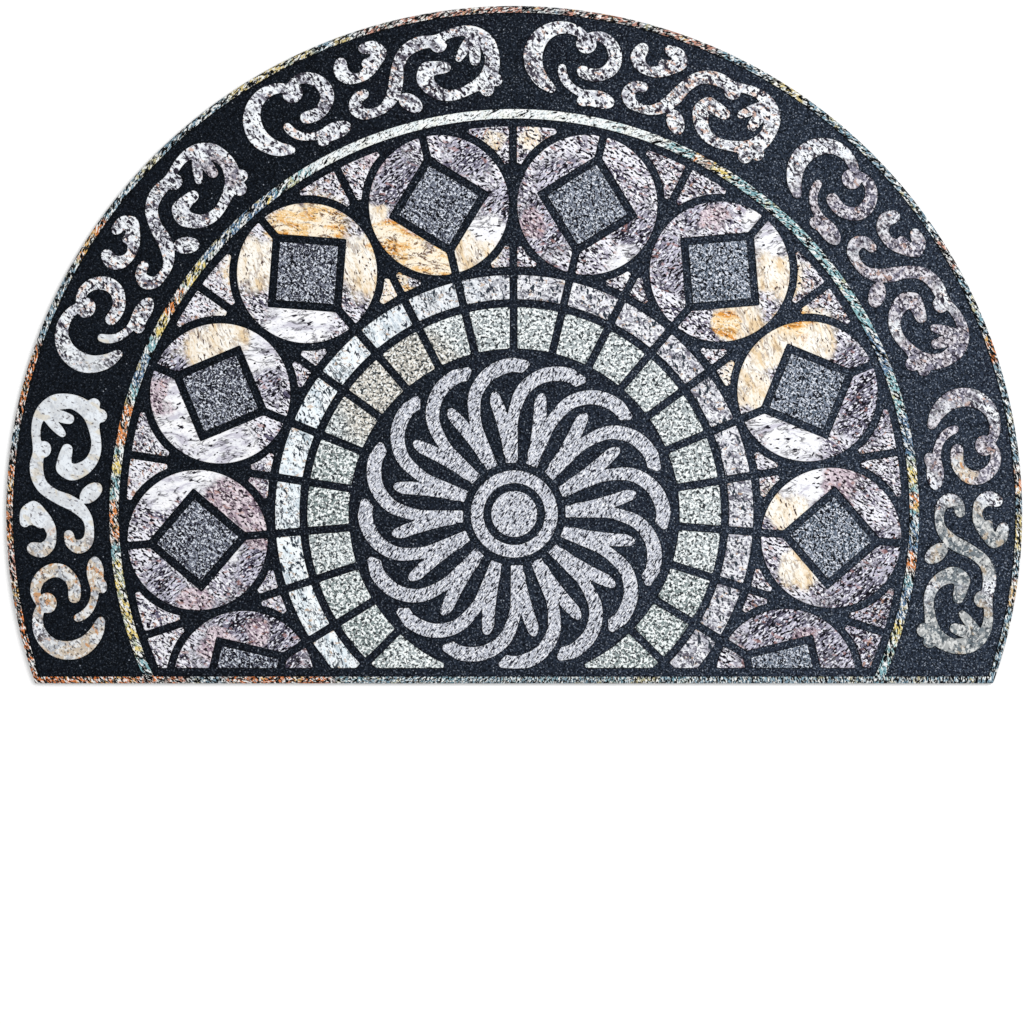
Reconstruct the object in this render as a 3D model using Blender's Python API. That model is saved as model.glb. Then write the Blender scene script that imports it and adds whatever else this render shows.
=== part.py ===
"""Half-round doormat: one moulded rubber slab whose face carries raised islands.

The face is laid out round the medallion's centre, which all its rings share. Shapes are painted
one over the other, each either raised or cut back to the ground, and what is left raised at the
end is lifted off the slab. Lengths are in metres. Angles are in degrees, counted counter-clockwise
from +X. The straight edge faces -Y.
"""

import math

import bmesh
import bpy
from mathutils import Vector
from mathutils.geometry import delaunay_2d_cdt

MM = 0.001

# The slab
RADIUS = 457.2 * MM
CENTRE_TO_STRAIGHT_EDGE = 152.4 * MM
GROUND_HEIGHT = 5.0 * MM
RELIEF = 2.0 * MM
RIM_WIDTH = 6.2 * MM
RIM_CHAMFER = 1.8 * MM
CENTRE_TO_FOOT_OF_PATTERN = 138.5 * MM

# The medallion: rings of tiles, then a band of roundels, then a border ring. The rings are given as
# inner and outer radius, and bars cut them at every pitch to either side of the top.
CHANNEL = 7.0 * MM
PITCH = 13.5
TOP = 90.2
BARS_EACH_SIDE = 10
RING_REACH = 165.0
INNER_TILES = (148.8 * MM, 186.0 * MM)
OUTER_TILES = (193.2 * MM, 215.0 * MM)
ROUNDEL_BAND = (222.6 * MM, 348.6 * MM)
BORDER_RING = (355.7 * MM, 364.2 * MM)

# The roundels, one on every second bar, each with a square set on its corner
ROUNDEL_CENTRE = 285.8 * MM
ROUNDEL_RADIUS = 63.0 * MM
SQUARE_HALF_DIAGONAL = 37.0 * MM
ROUNDELS_EACH_SIDE = 5

# The rosette
HUB_DISC = 20.7 * MM
HUB_RING = (27.8 * MM, 39.2 * MM)
LEAVES = 16
LEAF_FOOT = 46.0 * MM
FIRST_LEAF = 93.0

# The scroll band, six times the same group of four scrolls
BAND_RADIUS = 406.4 * MM
GROUP_PITCH = 36.5
GROUPS_EACH_SIDE = 3

# How finely curves are drawn: the steps of an arc, a circle, a bud, a stroke's end and each span
# between two nodes
ARC_STEP = PITCH / 9
CIRCLE_STEPS = 90
BUD_STEPS = 24
CAP_STEPS = 6
SPAN_STEPS = 6

# How the finished outlines are simplified: how far they may stray from the curves, what turn
# counts as a corner, which tips are blunted and how wide, and the smallest island that is kept
TOLERANCE = 0.5 * MM
SHORTEST_SIDE = 1.2 * MM
CORNER_TURN = 40.0
TIP_ANGLE = 65.0
TIP_WIDTH = 4.0 * MM
SMALLEST_ISLAND = 40 * MM * MM

# Strokes and buds are in millimetres. A stroke is a smooth line through a few nodes, each of them
# the node's place and the stroke's width there. A bud is an ellipse: its middle, its two half
# widths and its turn in degrees.
LEAF = [
    {"nodes": [(0, 0, 11), (1, 25, 11), (4, 43, 10.5), (13.8, 65, 12), (33, 77, 12.8),
               (54.3, 76.5, 13.2), (66.5, 68.5, 12)], "skew": 5.5},
    {"nodes": [(-1.3, 9, 10.5), (-3, 22, 10.5), (-7.9, 45, 12), (-11, 55.5, 11), (-11.8, 61.5, 7)]},
]

# The flat scroll group: u runs clockwise along the band, v outwards from its middle radius
HOOKED_C = {
    "strokes": [
        {"nodes": [(-92.3, -22.5, 7.5), (-101, -16.8, 12.5), (-108.8, -6.3, 15.5), (-111.5, 6, 16.8),
                   (-107.5, 20, 15.5), (-98.5, 29.5, 13), (-87, 33.5, 11), (-75, 31.5, 9), (-66, 25, 8)]},
        {"nodes": [(-68, 26, 7), (-57, 30, 9), (-46, 25.5, 10.5), (-39.5, 14, 12), (-41.3, 3, 12.4),
                   (-51, -4.5, 11.2), (-60, -4.8, 12), (-65.5, -3.8, 11)]},
    ],
    "buds": [{"at": (-66.2, 21), "half": (8.8, 8.4), "turn": 0}],
}
LEAF_SPRIG = {
    "strokes": [{"nodes": [(-84.6, -3, 7.5), (-82.7, -10, 8), (-77, -17, 7.5), (-68, -21.7, 7),
                           (-58, -24, 9)]}],
    "buds": [{"at": (-47, -26), "half": (16.4, 7.8), "turn": -3},
             {"at": (-60, -29.8), "half": (7.2, 4.8), "turn": 0}],
}
DOUBLE_CURL = {
    "strokes": [
        {"nodes": [(-18.6, 28, 10), (-20.8, 20, 12.6), (-16, 12.6, 11), (-8, 10, 8.5), (0, 11.8, 10),
                   (8, 18, 12)]},
        {"nodes": [(4, 33.6, 9.6), (11.2, 32, 12), (15, 26, 13)]},
        {"nodes": [(14.5, 26.5, 13), (11, 20.5, 12), (2, 20, 8.6)]},
    ],
    "buds": [],
}
GREAT_SCROLL = {
    "strokes": [
        {"nodes": [(-8.5, -5.3, 8.6), (-16.2, -7, 10), (-20.2, -14.5, 13), (-15.3, -22, 10.5),
                   (-5, -24, 8), (5, -22.8, 9), (14, -16.5, 12), (20.5, -8, 13), (23.8, 1, 12),
                   (28, 10, 11), (34, 18.5, 11), (43.5, 24, 12), (55, 25.6, 12), (66, 24.5, 10)]},
        {"nodes": [(62, 25, 9), (74, 28.6, 8), (85, 30.6, 9), (97, 28, 11.5), (107, 18.5, 14),
                   (111.3, 5, 12.8), (109.5, -6.5, 14.5), (103, -16, 14.5), (91, -21, 9.8),
                   (78, -25.3, 9.2), (66, -25, 10.5), (55, -19, 12.5), (48.8, -8, 15.4),
                   (51.5, 0, 15)]},
        {"nodes": [(52, 0.5, 15), (59, 1, 12.6), (68.5, 0, 10.2)]},
        {"nodes": [(97, 25, 10), (89, 16.5, 9), (84.8, 10, 8), (81.8, 6.3, 6.4)]},
        {"nodes": [(97, 22, 11), (96.4, 10, 10), (95.8, 3, 9.4)]},
    ],
    "buds": [{"at": (65.8, 20.6), "half": (7.2, 6.6), "turn": 0},
             {"at": (30.5, -25.2), "half": (12.3, 7.8), "turn": -42},
             {"at": (113.3, -15.8), "half": (6.5, 6), "turn": 0},
             {"at": (104.8, -23.2), "half": (7, 6.8), "turn": 0}],
}
SCROLL_GROUP = [HOOKED_C, LEAF_SPRIG, DOUBLE_CURL, GREAT_SCROLL]

RUBBER = {"colour": (0.016, 0.019, 0.024, 1.0), "roughness": 0.9, "metallic": 0.0}


def polar(radius, angle):
    """The point at that distance and direction from the medallion's centre."""
    return Vector((radius * math.cos(math.radians(angle)), radius * math.sin(math.radians(angle))))


def arc(radius, start, end, step):
    """Points along an arc about the medallion's centre, both ends included."""
    steps = max(1, round(abs(end - start) / step))
    return [polar(radius, start + (end - start) * i / steps) for i in range(steps + 1)]


def circle(centre, radius):
    """A round outline."""
    return [centre + polar(radius, 360 * (i + 0.5) / CIRCLE_STEPS) for i in range(CIRCLE_STEPS)]


def ring(radii, start, end, step):
    """A stretch of ring between two radii."""
    inner, outer = radii
    return arc(outer, start, end, step) + arc(inner, end, start, step)


def diamond(centre, half_diagonal):
    """A square with one diagonal on the line from the medallion's centre."""
    first = math.degrees(math.atan2(centre.y, centre.x))
    return [centre + polar(half_diagonal, first + 90 * i) for i in range(4)]


def bar(angle, start, end, width):
    """A straight channel of even width along one radius."""
    side = polar(width / 2, angle + 90)
    return [polar(start, angle) - side, polar(end, angle) - side,
            polar(end, angle) + side, polar(start, angle) + side]


def bud(at, half, turn):
    """The outline of an ellipse."""
    long_half, short_half = polar(half[0], turn), polar(half[1], turn + 90)
    around = [2 * math.pi * i / BUD_STEPS for i in range(BUD_STEPS)]
    return [Vector(at) + long_half * math.cos(a) + short_half * math.sin(a) for a in around]


def smooth_line(nodes):
    """A Catmull-Rom curve through the nodes, as (x, y, width) vectors."""
    rows = [Vector(node) for node in nodes]
    rows = [2 * rows[0] - rows[1]] + rows + [2 * rows[-1] - rows[-2]]
    line = []
    for a, b, c, d in zip(rows, rows[1:], rows[2:], rows[3:]):
        for i in range(SPAN_STEPS):
            t = i / SPAN_STEPS
            cubic = (3 * b - 3 * c + d - a) * t ** 3
            line.append((2 * b + (c - a) * t + (2 * a - 5 * b + 4 * c - d) * t * t + cubic) / 2)
    return line + [rows[-2]]


def cap(place, heading, width):
    """The round end of a stroke, without the two points that its sides already have."""
    return [place + polar(width / 2, heading - 90 + 180 * i / CAP_STEPS) for i in range(1, CAP_STEPS)]


def stroke(nodes, skew=None):
    """The outline of a stroke with round ends, or with a slanted far end and a flat near one."""
    line = smooth_line(nodes)
    right, left, headings = [], [], []
    for i, here in enumerate(line):
        ahead = line[min(i + 1, len(line) - 1)] - line[max(i - 1, 0)]
        heading = math.degrees(math.atan2(ahead.y, ahead.x))
        right.append(here.xy + polar(here.z / 2, heading - 90))
        left.append(here.xy + polar(here.z / 2, heading + 90))
        headings.append(heading)
    if skew is not None:
        left.append(left[-1] + polar(skew, headings[-1]))
        right.pop()
        return right + left[::-1]
    far_end = cap(line[-1].xy, headings[-1], line[-1].z)
    near_end = cap(line[0].xy, headings[0] + 180, line[0].z)
    return right + far_end + left[::-1] + near_end


def scroll_outlines(scroll):
    """The overlapping strokes and buds of one scroll, in millimetres on the flat band."""
    return [stroke(**row) for row in scroll["strokes"]] + [bud(**row) for row in scroll["buds"]]


def bend_onto_band(outline, angle):
    """Wraps a flat outline in millimetres round the scroll band, its middle at that angle."""
    return [polar(BAND_RADIUS + p.y * MM, angle - math.degrees(p.x * MM / BAND_RADIUS)) for p in outline]


def turn_onto_rosette(outline, angle):
    """Places a flat outline in millimetres on the rosette, its foot at the hub."""
    out, aside = polar(1, angle), polar(1, angle - 90)
    return [out * (LEAF_FOOT + p.y * MM) + aside * p.x * MM for p in outline]


def half_round(inset=0.0):
    """The mat's outline: a circle cut off by the straight edge."""
    radius, edge = RADIUS - inset, CENTRE_TO_STRAIGHT_EDGE - inset
    corner = math.degrees(math.asin(edge / radius))
    return arc(radius, -corner, 180 + corner, ARC_STEP)


def paint_rosette(paint):
    """The hub and the whirl of leaves round it."""
    hub = Vector((0, 0))
    paint.append((circle(hub, HUB_RING[1]), True))
    paint.append((circle(hub, HUB_RING[0]), False))
    paint.append((circle(hub, HUB_DISC), True))
    for leaf in range(LEAVES):
        angle = FIRST_LEAF + 360 * leaf / LEAVES
        for row in LEAF:
            paint.append((turn_onto_rosette(stroke(**row), angle), True))


def paint_rings(paint):
    """The rings of tiles and roundels, still whole, each running on below the straight edge."""
    for radii in (INNER_TILES, OUTER_TILES, ROUNDEL_BAND):
        paint.append((ring(radii, TOP - RING_REACH, TOP + RING_REACH, ARC_STEP), True))


def paint_roundels(paint):
    """Cuts a round bed for each roundel, sets in the roundel, cuts the bars and adds the squares."""
    centres = []
    for side in (-1, 1):
        for i in range(ROUNDELS_EACH_SIDE):
            centres.append(polar(ROUNDEL_CENTRE, TOP + side * PITCH * (2 * i + 1)))
    for centre in centres:
        paint.append((circle(centre, ROUNDEL_RADIUS + CHANNEL), False))
    for centre in centres:
        paint.append((circle(centre, ROUNDEL_RADIUS), True))
        paint.append((diamond(centre, SQUARE_HALF_DIAGONAL + CHANNEL * math.sqrt(2)), False))
    for i in range(-BARS_EACH_SIDE, BARS_EACH_SIDE + 1):
        ends = INNER_TILES[0] - CHANNEL / 2, ROUNDEL_BAND[1] + CHANNEL / 2
        paint.append((bar(TOP + i * PITCH, *ends, CHANNEL), False))
    for centre in centres:
        paint.append((diamond(centre, SQUARE_HALF_DIAGONAL), True))


def paint_scrolls(paint):
    """The scroll group, repeated round the band."""
    for i in range(2 * GROUPS_EACH_SIDE):
        angle = TOP + GROUP_PITCH * (i - GROUPS_EACH_SIDE + 0.5)
        for scroll in SCROLL_GROUP:
            for outline in scroll_outlines(scroll):
                paint.append((bend_onto_band(outline, angle), True))


def paint_straight_edge(paint):
    """Ends the pattern short of the straight edge, then runs the border ring down to the edge."""
    low, high = -CENTRE_TO_STRAIGHT_EDGE, -CENTRE_TO_FOOT_OF_PATTERN
    corners = [(-RADIUS, low), (RADIUS, low), (RADIUS, high), (-RADIUS, high)]
    paint.append(([Vector(corner) for corner in corners], False))
    corner = math.degrees(math.asin(CENTRE_TO_STRAIGHT_EDGE / BORDER_RING[0]))
    paint.append((ring(BORDER_RING, -corner, 180 + corner, ARC_STEP), True))


def overlay(outlines):
    """Cuts the outlines by each other: (points, triangles, the outlines that hold each triangle)."""
    points, faces = [], []
    for outline in outlines:
        faces.append(list(range(len(points), len(points) + len(outline))))
        points += [p / MM for p in outline]
    found, _, triangles, _, _, holders = delaunay_2d_cdt(points, [], faces, 1, 1e-4)
    return [p * MM for p in found], triangles, holders


def borders(triangles):
    """The closed lines round a set of triangles, as lists of point numbers."""
    sides = {(t[i], t[i - 2]) for t in triangles for i in range(3)}
    following = {}
    for a, b in sides:
        if (b, a) not in sides:
            following.setdefault(a, []).append(b)
    loops = []
    while following:
        loop = [next(iter(following))]
        while loop[-1] in following:
            here = loop[-1]
            loop.append(following[here].pop())
            if not following[here]:
                del following[here]
        loops.append(loop[:-1])
    return loops


def off_line(start, end, point):
    """How far a point lies from the line between two others."""
    ahead = end - start
    if ahead.length < TOLERANCE:
        return (point - start).length
    return abs(ahead.cross(point - start)) / ahead.length


def is_corner(outline, i):
    """Whether a closed line turns sharply at one of its points."""
    back, ahead = outline[i] - outline[i - 1], outline[(i + 1) % len(outline)] - outline[i]
    return back.length > 0 and ahead.length > 0 and math.degrees(back.angle(ahead)) > CORNER_TURN


def thinned(outline):
    """Few points of a closed line: its corners, and between them the longest chords that keep
    within the tolerance."""
    corners = [is_corner(outline, i) for i in range(len(outline))]
    first = corners.index(True) if True in corners else 0
    line = outline[first:] + outline[:first + 1]
    corners = corners[first:] + corners[:first + 1]
    kept, here = [], 0
    while here < len(line) - 1:
        if not kept or (line[here] - kept[-1]).length > SHORTEST_SIDE:
            kept.append(line[here])
        end = here + 1
        while end + 1 < len(line) and not corners[end]:
            if max(off_line(line[here], line[end + 1], p) for p in line[here + 1:end + 1]) > TOLERANCE:
                break
            end += 1
        here = end
    return kept


def walk(outline, start, step, distance):
    """The point that far along the outline from one of its points, and the points passed."""
    passed, here = [], start
    while True:
        side = outline[(here + step) % len(outline)] - outline[here]
        if side.length > distance or len(passed) == len(outline):
            return outline[here] + side * (distance / side.length), passed
        distance -= side.length
        here = (here + step) % len(outline)
        passed.append(here)


def blunted(outline):
    """The outline with each sharp tip cut off where it is TIP_WIDTH across."""
    cuts, dropped = {}, set()
    for i, here in enumerate(outline):
        back, ahead = outline[i - 1] - here, outline[(i + 1) % len(outline)] - here
        if back.cross(ahead) > 0 or math.degrees(back.angle(ahead)) > TIP_ANGLE:
            continue
        distance = TIP_WIDTH / 2
        while True:
            before, passed_before = walk(outline, i, -1, distance)
            after, passed_after = walk(outline, i, 1, distance)
            if (after - before).length >= TIP_WIDTH or len(passed_after) == len(outline):
                break
            distance += TIP_WIDTH / 8
        cuts[i] = [before, after]
        dropped.update(passed_before + passed_after)
    kept = []
    for i, here in enumerate(outline):
        if i not in dropped:
            kept += cuts.get(i, [here])
    return kept


def area(outline):
    """The area inside an outline, negative for a hole."""
    return sum(outline[i - 1].cross(outline[i]) for i in range(len(outline))) / 2


def raised_outlines():
    """Paints the whole face and returns the outlines of what stands raised, holes included.

    Whatever was painted last decides, except that nothing cuts the rim.
    """
    mat, inside_rim = 0, 1
    paint = [(half_round(), True), (half_round(RIM_WIDTH), False)]
    paint_rings(paint)
    paint_roundels(paint)
    paint_rosette(paint)
    paint_scrolls(paint)
    paint_straight_edge(paint)
    points, triangles, holders = overlay([outline for outline, _ in paint])
    raised = []
    for triangle, held_by in zip(triangles, holders):
        if mat in held_by and (inside_rim not in held_by or paint[max(held_by)][1]):
            raised.append(triangle)
    loops = [thinned([points[i] for i in loop]) for loop in borders(raised)]
    loops = [blunted(loop) for loop in loops if abs(area(loop)) > SMALLEST_ISLAND]
    return [loop for loop in loops if abs(area(loop)) > SMALLEST_ISLAND]


def face_mesh(outlines):
    """A flat mesh of the whole face, and the faces in it that stand raised.

    The rim's outer line holds everything, so a face stands raised where an odd number of lines
    go round it. A hole's line runs clockwise and is turned round first, to hold what is inside it.
    """
    points, triangles, holders = overlay([o if area(o) > 0 else o[::-1] for o in outlines])
    mesh = bmesh.new()
    verts = [mesh.verts.new((p.x, p.y, GROUND_HEIGHT)) for p in points]
    raised = []
    for triangle, held_by in zip(triangles, holders):
        if not held_by:
            continue
        face = mesh.faces.new([verts[i] for i in triangle])
        if len(held_by) % 2:
            raised.append(face)
    bmesh.ops.delete(mesh, geom=[v for v in mesh.verts if not v.link_faces], context="VERTS")
    return mesh, raised


def lift_islands(mesh, raised):
    """Lifts the raised faces off the ground with upright walls round them."""
    made = bmesh.ops.extrude_face_region(mesh, geom=raised)["geom"]
    for vert in (g for g in made if isinstance(g, bmesh.types.BMVert)):
        vert.co.z += RELIEF
    bmesh.ops.delete(mesh, geom=raised, context="FACES")


def close_underside(mesh):
    """Carries the open edge down to the floor and closes it with one flat face."""
    edges = [e for e in mesh.edges if e.is_boundary]
    made = bmesh.ops.extrude_edge_only(mesh, edges=edges)["geom"]
    for vert in (g for g in made if isinstance(g, bmesh.types.BMVert)):
        vert.co.z = 0
    bmesh.ops.contextual_create(mesh, geom=[g for g in made if isinstance(g, bmesh.types.BMEdge)])
    bmesh.ops.recalc_face_normals(mesh, faces=mesh.faces)
    if mesh.calc_volume(signed=True) < 0:
        bmesh.ops.reverse_faces(mesh, faces=mesh.faces)


def chamfer_rim(mesh):
    """Slopes the outer edge of the rim, so that a foot doesn't catch on it."""
    outer = []
    for edge in mesh.edges:
        middle = (edge.verts[0].co + edge.verts[1].co) / 2
        on_curve = middle.xy.length > RADIUS - RIM_WIDTH / 2
        on_straight = middle.y < RIM_WIDTH / 2 - CENTRE_TO_STRAIGHT_EDGE
        wall_sides = sum(abs(face.normal.z) < 0.5 for face in edge.link_faces)
        if (on_curve or on_straight) and middle.z > GROUND_HEIGHT + RELIEF / 2 and wall_sides == 1:
            outer.append(edge)
    bmesh.ops.bevel(mesh, geom=outer, offset=RIM_CHAMFER, offset_type="OFFSET", segments=1,
                    affect="EDGES")


def material(name, colour, roughness, metallic):
    """A plain material."""
    made = bpy.data.materials.new(name)
    made.use_nodes = True
    shader = made.node_tree.nodes["Principled BSDF"]
    shader.inputs["Base Color"].default_value = colour
    shader.inputs["Roughness"].default_value = roughness
    shader.inputs["Metallic"].default_value = metallic
    return made


def main():
    for old in list(bpy.data.objects):
        bpy.data.objects.remove(old)
    shape, raised = face_mesh(raised_outlines())
    lift_islands(shape, raised)
    close_underside(shape)
    chamfer_rim(shape)
    mesh = bpy.data.meshes.new("mat")
    shape.to_mesh(mesh)
    shape.free()
    mesh.materials.append(material("flocked_rubber", **RUBBER))
    mat = bpy.data.objects.new("mat", mesh)
    mat.location.y = (CENTRE_TO_STRAIGHT_EDGE - RADIUS) / 2
    bpy.context.scene.collection.objects.link(mat)


main()
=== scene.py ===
"""A half-round doormat: black flocked rubber with stone-like colours printed on its raised islands.

Everything is in metres, in the frame of the CAD model. The outlines of the islands are read from
the CAD node, eased into smooth lines, and carry the rounded edge of a moulded island. Directions
round the mat are measured from the centre of its rosette, which lies above the straight edge.
"""

import math

import bpy
import numpy as np
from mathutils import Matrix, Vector
from mathutils.geometry import delaunay_2d_cdt


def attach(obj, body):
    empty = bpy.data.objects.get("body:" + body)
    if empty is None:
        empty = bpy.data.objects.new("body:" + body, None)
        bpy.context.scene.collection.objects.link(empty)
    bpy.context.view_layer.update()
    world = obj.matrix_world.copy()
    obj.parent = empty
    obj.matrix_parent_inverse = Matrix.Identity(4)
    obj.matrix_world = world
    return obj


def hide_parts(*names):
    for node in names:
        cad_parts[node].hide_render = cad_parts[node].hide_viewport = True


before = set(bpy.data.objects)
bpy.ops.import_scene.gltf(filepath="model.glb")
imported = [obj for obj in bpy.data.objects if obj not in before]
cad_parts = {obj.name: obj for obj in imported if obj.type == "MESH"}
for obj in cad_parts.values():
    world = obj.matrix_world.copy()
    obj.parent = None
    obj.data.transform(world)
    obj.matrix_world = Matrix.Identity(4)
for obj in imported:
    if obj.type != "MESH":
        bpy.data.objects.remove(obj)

bl_info = {
    "name": "Half-round doormat",
    "version": (1, 0, 0),
    "blender": (4, 5, 0),
    "location": "View3D > Sidebar > Doormat",
    "description": "Builds a flocked rubber doormat with a printed relief",
    "category": "Add Mesh",
}

MM = 0.001
BODY = "root"
NODE = "mat"

# The rosette's centre, and the radii round it that part one family of islands from the next
CENTRE = np.array([0.0, -152.4 * MM])
HUB_REACH = 41 * MM
ROSETTE_REACH = 146 * MM
INNER_TILES_REACH = 190 * MM
OUTER_TILES_REACH = 219 * MM
MEDALLION_REACH = 352 * MM
BORDER_RING_OUTSIDE = 365.5 * MM
SCROLLS_REACH = 449.5 * MM
ROUNDEL_CENTRE = 285.8 * MM
ROUNDEL_REACH = 64.5 * MM
SQUARE_REACH = 38.5 * MM
ROUNDEL_ANGLES = np.radians(90.2 + 13.5 * np.arange(-9, 10, 2))

# Heights in the CAD model
LOWEST, GROUND, TOP = 0.0, 5.0 * MM, 7.0 * MM
WELD = 1e-6


# Outlines: (points, number of points of each closed line), the raised side on the left


def neighbour(counts, places):
    """The number of each point's neighbour that many places along its own closed line."""
    start = np.repeat(np.cumsum(counts) - counts, counts)
    return start + (np.arange(counts.sum()) - start + places) % np.repeat(counts, counts)


def per_line(outlines, values, measure):
    """One number for each closed line: the sum, least or greatest of its points' values."""
    return measure.reduceat(values, np.cumsum(outlines[1]) - outlines[1])


def areas(outlines):
    """The area inside each closed line, negative for a hole."""
    xy, counts = outlines
    ahead = xy[neighbour(counts, 1)]
    return per_line(outlines, xy[:, 0] * ahead[:, 1] - xy[:, 1] * ahead[:, 0], np.add) / 2


def chosen(outlines, lines):
    """The closed lines that a mask picks."""
    return outlines[0][np.repeat(lines, outlines[1])], outlines[1][lines]


def cad_outlines(low, high):
    """The closed lines round the CAD faces that lie between two heights.

    A side that only one of the faces has is on the edge. Each edge point is numbered by its steps
    to the lowest-numbered point of its line, found by doubling the length of the jump each time.
    """
    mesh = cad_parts[NODE].data
    place = np.empty(3 * len(mesh.vertices))
    corner = np.empty(len(mesh.loops), int)
    mesh.vertices.foreach_get("co", place)
    mesh.loops.foreach_get("vertex_index", corner)
    place = place.reshape(-1, 3)
    welded = np.unique(np.round(place / WELD).astype(int), axis=0, return_index=True,
                       return_inverse=True)
    place = place[welded[1]]
    faces = welded[2].ravel()[corner].reshape(-1, 3)
    heights = place[faces][:, :, 2]
    faces = faces[((heights > low) & (heights < high)).all(1)]
    sides = np.stack([faces, np.roll(faces, -1, 1)], 2).reshape(-1, 2)
    code = sides @ (len(place), 1)
    sides = sides[~np.isin(code, sides @ (1, len(place)))]
    sides = sides[np.argsort(sides[:, 0])]
    following = np.searchsorted(sides[:, 0], sides[:, 1])
    number = np.arange(len(sides))
    doublings = range(int(math.log2(len(sides))) + 2)
    line, jump = number, following
    for _ in doublings:
        line = np.minimum(line, line[jump])
        jump = jump[jump]
    to_go = (line != number).astype(int)
    jump = np.where(line == number, number, following)
    for _ in doublings:
        to_go = to_go + to_go[jump]
        jump = jump[jump]
    order = np.lexsort((-to_go, line))
    counts = np.unique(line, return_counts=True)[1]
    return place[sides[order, 0], :2], counts


def eased(outlines, step, stand_off, spread):
    """Smooth closed lines through the corners of polygons, with a point every step.

    Each side becomes a cubic curve. Its end directions are those of the circle through a corner
    and its two neighbours, but turned from the side by no more than lets an arc stand off it by
    stand_off. Where two sides can't make up their turn between them, the corner is a real one and
    stays. Last, a bell-shaped mean along the line rounds the real corners.
    """
    xy, counts = outlines
    ahead, back = neighbour(counts, 1), neighbour(counts, -1)
    side = xy[ahead] - xy
    length = np.hypot(side[:, 0], side[:, 1])
    heading = np.arctan2(side[:, 1], side[:, 0])
    turn = (heading - heading[back] + math.pi) % (2 * math.pi) - math.pi
    most = 4 * stand_off / length
    first = np.clip(abs(turn) * length[back] / (length[back] + length), abs(turn) - most, most[back])
    second = np.minimum(abs(turn) - first, most)
    real = first + second < abs(turn) - 1e-6
    swing_in, swing_out = np.sign(turn) * first, -np.sign(turn) * second
    start = np.where(real, np.where(real[ahead], 0, -swing_in[ahead]), swing_out)
    end = np.where(real[ahead], np.where(real, 0, -swing_out), swing_in[ahead])
    pull = length / np.cos((abs(start) + abs(end)) / 4) ** 2
    leave = pull[:, None] * np.stack([np.cos(heading + start), np.sin(heading + start)], 1)
    arrive = pull[:, None] * np.stack([np.cos(heading + end), np.sin(heading + end)], 1)
    pieces = np.maximum(1, np.round(length / step)).astype(int)
    which = np.repeat(np.arange(len(xy)), pieces)
    t = (np.arange(pieces.sum()) - np.repeat(np.cumsum(pieces) - pieces, pieces)) / pieces[which]
    t = t[:, None]
    line = (xy[which] * (1 + 2 * t) * (1 - t) ** 2 + leave[which] * t * (1 - t) ** 2
            + xy[ahead[which]] * t * t * (3 - 2 * t) - arrive[which] * t * t * (1 - t))
    counts = per_line(outlines, pieces, np.add)
    places = np.arange(-4, 5)
    weights = np.exp(-((places * step / spread) ** 2) / 2)
    mean = sum(w * line[neighbour(counts, p)] for p, w in zip(places, weights)) / weights.sum()
    return mean, counts


def outward(outlines):
    """The direction away from the raised side at each point, as unit vectors."""
    xy, counts = outlines
    run = sum(xy[neighbour(counts, k)] - xy[neighbour(counts, -k)] for k in (1, 2))
    run /= np.hypot(run[:, 0], run[:, 1])[:, None]
    return np.stack([run[:, 1], -run[:, 0]], 1)


def filled(outlines):
    """Triangles that fill the raised side, facing up: (added points, triangles)."""
    xy, counts = outlines
    starts = np.cumsum(counts) - counts
    rings = [range(s, s + c) if a > 0 else range(s + c - 1, s - 1, -1)
             for s, c, a in zip(starts.tolist(), counts.tolist(), areas(outlines))]
    found, _, triangles, origins, _, holders = delaunay_2d_cdt(
        (xy / MM).tolist(), [], [list(r) for r in rings], 1, 1e-5)
    keep = np.array([len(h) % 2 == 1 for h in holders])
    triangles = np.array(triangles)[keep]
    found = np.array([tuple(p) for p in found]) * MM
    known = np.array([o[0] if o else -1 for o in origins])
    new = known < 0
    known[new] = len(xy) + np.arange(new.sum())
    a, b, c = (found[triangles[:, k]] for k in range(3))
    cross = (b - a)[:, 0] * (c - a)[:, 1] - (b - a)[:, 1] * (c - a)[:, 0]
    triangles[cross < 0] = triangles[cross < 0][:, ::-1]
    return found[new], known[triangles]


# Profiles in millimetres: (outward from the outline, height). A soft foot, an upright wall and a
# rounded shoulder, and for the rim's outer side a slope down to the edge of the mat.
ISLAND_PROFILE = ((0.9, 4.7), (0.45, 5.02), (0.12, 5.35), (0.0, 5.9), (0.0, 6.4), (-0.13, 6.7),
                  (-0.4, 6.9), (-0.9, 7.0))
RIM_SLOPE = ((1.55, 4.5), (1.8, 4.75), (1.78, 5.0), (1.5, 5.45), (0.8, 6.2), (0.2, 6.72),
             (-0.2, 6.92), (-0.8, 7.0))
SLAB_EDGE = ((0.7, 0.0), (0.2, 0.12), (0.0, 0.5), (0.0, 4.45), (0.3, 4.85), (0.9, 5.0))
SLAB_ROWS = 22
SLAB_STEP, SLAB_STAND_OFF, SLAB_ROUNDING = 3 * MM, 0.55 * MM, 1.2 * MM


# Meshes and objects


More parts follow.
